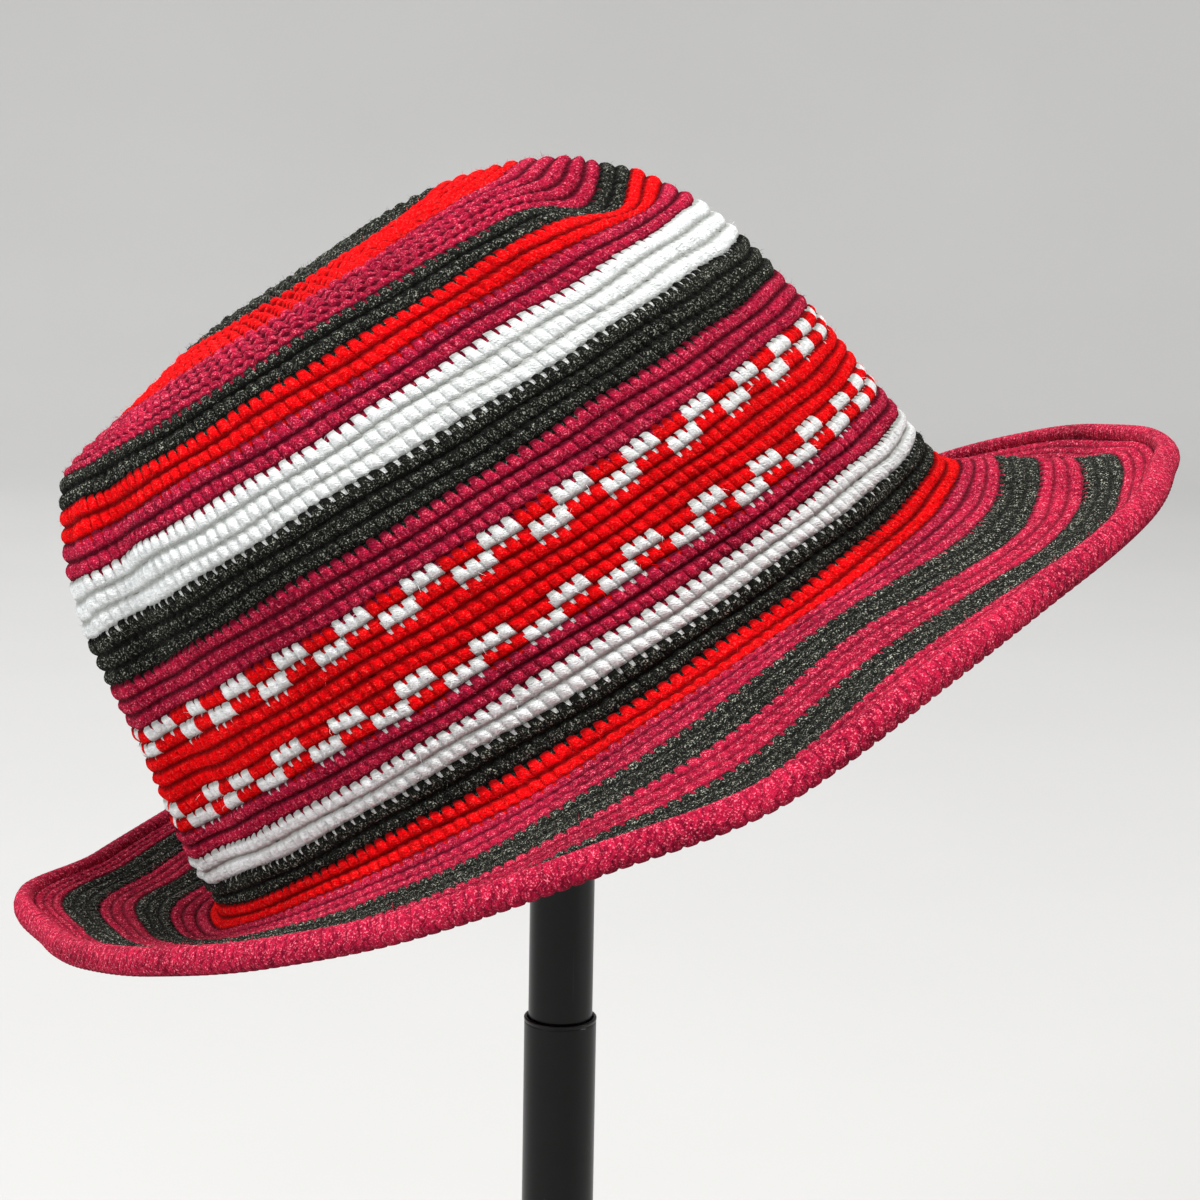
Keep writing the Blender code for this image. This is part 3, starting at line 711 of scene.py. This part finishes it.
FOOT_RADIUS, FOOT_THICK, HUB_RADIUS, HUB_TOP = 100.0, 6.0, 14.0, 22.0
LOWER_RADIUS, LOWER_TOP, UPPER_RADIUS, UPPER_FOOT, UPPER_TOP = 9.0, 180.0, 8.0, 118.0, 361.0
KNOB_RADIUS, KNOB_CENTRE, KNOB_NECK, KNOB_FOOT = 20.0, 366.5, 11.0, 345.0
tube_paint = enamel("tube_enamel", shade_of(6, 6, 6), 0.30, 2600.0, 0.00004)
lip_foot = LOWER_TOP - 1.5
rolled_lip = ([(8.92, lip_foot + 0.15), (8.92, lip_foot + 0.35), (9.05, lip_foot + 0.5)]
              + rounded(8.67, lip_foot + 0.95, 0.42, -20.0, 180.0, 10))
lower_wall = [(LOWER_RADIUS, height) for height in (3.6, 60.0, 120.0, lip_foot - 0.3, lip_foot)]
lower_bore = [(8.28, lip_foot + 0.1), (8.3, 170.0), (8.35, 60.0), (8.35, 3.6)]
turned("lower_tube", lower_bore[-1:] + lower_wall + rolled_lip + lower_bore[:-1],
       tube_paint, "stand_lower_tube", closed=True)
upper_wall = [(UPPER_RADIUS, height) for height in (UPPER_FOOT + 0.1, 180.0, 260.0, UPPER_TOP - 0.3)]
upper_lip = rounded(UPPER_RADIUS - 0.3, UPPER_TOP - 0.3, 0.3, 0.0, 90.0, 4)
upper_lip += [(7.2, UPPER_TOP), (7.1, UPPER_TOP - 0.2)]
turned("upper_tube", [(7.1, UPPER_FOOT), (7.9, UPPER_FOOT)] + upper_wall + upper_lip,
       tube_paint, "stand_upper_tube", closed=True)
knob_plastic = enamel("knob_moulding", shade_of(30, 30, 31), 0.52, 5200.0, 0.00008)
dome = [(0.01, KNOB_CENTRE + KNOB_RADIUS)] + rounded(0.0, KNOB_CENTRE, KNOB_RADIUS, 88.0, 0.0, 20)
brow = rounded(KNOB_RADIUS - 1.6, KNOB_CENTRE - 1.1, 1.6, -15.0, -90.0, 4)
neck = [(14.6, 362.6), (12.0, 360.2), (11.2, 359.2), (KNOB_NECK, 358.0), (KNOB_NECK, 352.0)]
ring_groove = [(10.8, 351.8), (10.8, 351.4), (KNOB_NECK, 351.2), (KNOB_NECK, 346.0)]
collar = rounded(KNOB_NECK - 0.8, KNOB_FOOT + 0.8, 0.8, 0.0, -90.0, 5) + [(8.4, KNOB_FOOT)]
knob_bore = [(8.3, KNOB_FOOT + 0.2), (8.3, 352.0), (8.3, 361.2)]
turned("hat_knob", dome + brow + neck + ring_groove + collar + knob_bore, knob_plastic, "stand_top")
foot_paint = enamel("foot_powder_coat", shade_of(19, 19, 20), 0.46, 1900.0, 0.00012)
underside = [(0.01, 0.4), (60.0, 0.4), (96.0, 0.4), (97.0, 0.0)]
rim = (rounded(FOOT_RADIUS - 0.8, 0.8, 0.8, -90.0, 0.0, 4)
       + rounded(FOOT_RADIUS - 1.8, FOOT_THICK - 1.8, 1.8, 0.0, 90.0, 6))
fillet = [(60.0, FOOT_THICK), (17.5, FOOT_THICK)] + rounded(17.5, FOOT_THICK + 3.0, 3.0, -90.0, -180.0, 6)
hub = ([(HUB_RADIUS, 10.0), (HUB_RADIUS, HUB_TOP - 1.2)]
       + rounded(HUB_RADIUS - 1.2, HUB_TOP - 1.2, 1.2, 0.0, 90.0, 5)
       + [(9.4, HUB_TOP), (9.3, HUB_TOP - 0.2), (9.3, 3.0)])
turned("foot_plate", underside + rim + fillet + hub, foot_paint, "stand_base")

# FLOOR AND LIGHT
# A plain pale floor that sweeps up all round, under soft studio lamps: a large one above the hat's
# front, a weaker one at the camera's left, one from the back and a small low one for the tubes.
floor_finish, floor_shader, floor_dye = new_finish("pale_floor", Roughness=0.85)
floor_place = floor_dye.node("TexCoord", output=3)
floor_cloud = floor_dye.node("TexNoise", {"Vector": floor_place, "Scale": 3.0, "Detail": 4.0})
darker, lighter = (0.45, 0.447, 0.439, 1.0), (0.485, 0.482, 0.474, 1.0)
floor_tone = floor_dye.node("Mix", {0: floor_cloud, 6: darker, 7: lighter}, output=2, data_type="RGBA")
wire(floor_finish, floor_shader, "Base Color", floor_tone)
flat, rise = 2.6, 1.2
sweep = [(0.001, 0.0), (1.0, 0.0), (flat, 0.0)]
sweep += [(flat + rise * math.sin(a), rise - rise * math.cos(a)) for a in np.linspace(0.1, 1.57, 13)]
sweep += [(flat + rise, 1.6), (flat + rise, 2.2)]
sides = 72
floor_points = [(r * math.cos(2 * math.pi * k / sides), r * math.sin(2 * math.pi * k / sides), z)
                for r, z in sweep for k in range(sides)]
floor_faces = [(row * sides + k, row * sides + (k + 1) % sides, (row + 1) * sides + (k + 1) % sides,
                (row + 1) * sides + k) for row in range(len(sweep) - 1) for k in range(sides)]
floor_mesh = bpy.data.meshes.new("floor")
floor_mesh.from_pydata(floor_points, [], floor_faces)
floor_mesh.polygons.foreach_set("use_smooth", np.ones(len(floor_faces), bool))
floor_mesh.materials.append(floor_finish)
floor = bpy.data.objects.new("floor", floor_mesh)
bpy.context.scene.collection.objects.link(floor)


hat_middle = Vector((0.0, 0.0, 0.28))


def lamp(name, place, power, size, tint):
    """A square soft lamp that faces the hat."""
    light = bpy.data.lights.new(name, "AREA")
    light.energy, light.size, light.color = power, size, tint
    made = bpy.data.objects.new(name, light)
    made.visible_camera = False
    made.location = place
    made.rotation_euler = (hat_middle - Vector(place)).to_track_quat("-Z", "Y").to_euler()
    bpy.context.scene.collection.objects.link(made)
    return made


lamp("key_lamp", (0.3, -0.9, 3.4), 140.0, 0.8, (1.0, 0.99, 0.97))
lamp("fill_lamp", (-2.4, -1.9, 1.7), 75.0, 1.5, (0.98, 0.99, 1.0))
lamp("side_lamp", (2.0, -0.4, 0.25), 5.0, 0.3, (1.0, 1.0, 1.0))
lamp("back_lamp", (-1.0, 2.2, 2.6), 40.0, 1.4, (1.0, 1.0, 1.0))
world = bpy.data.worlds.new("studio")
world.use_nodes = True
world.node_tree.nodes["Background"].inputs[0].default_value = (0.93, 0.95, 1.0, 1.0)
world.node_tree.nodes["Background"].inputs[1].default_value = 0.42
bpy.context.scene.world = world
bpy.context.scene.view_settings.view_transform = "Standard"
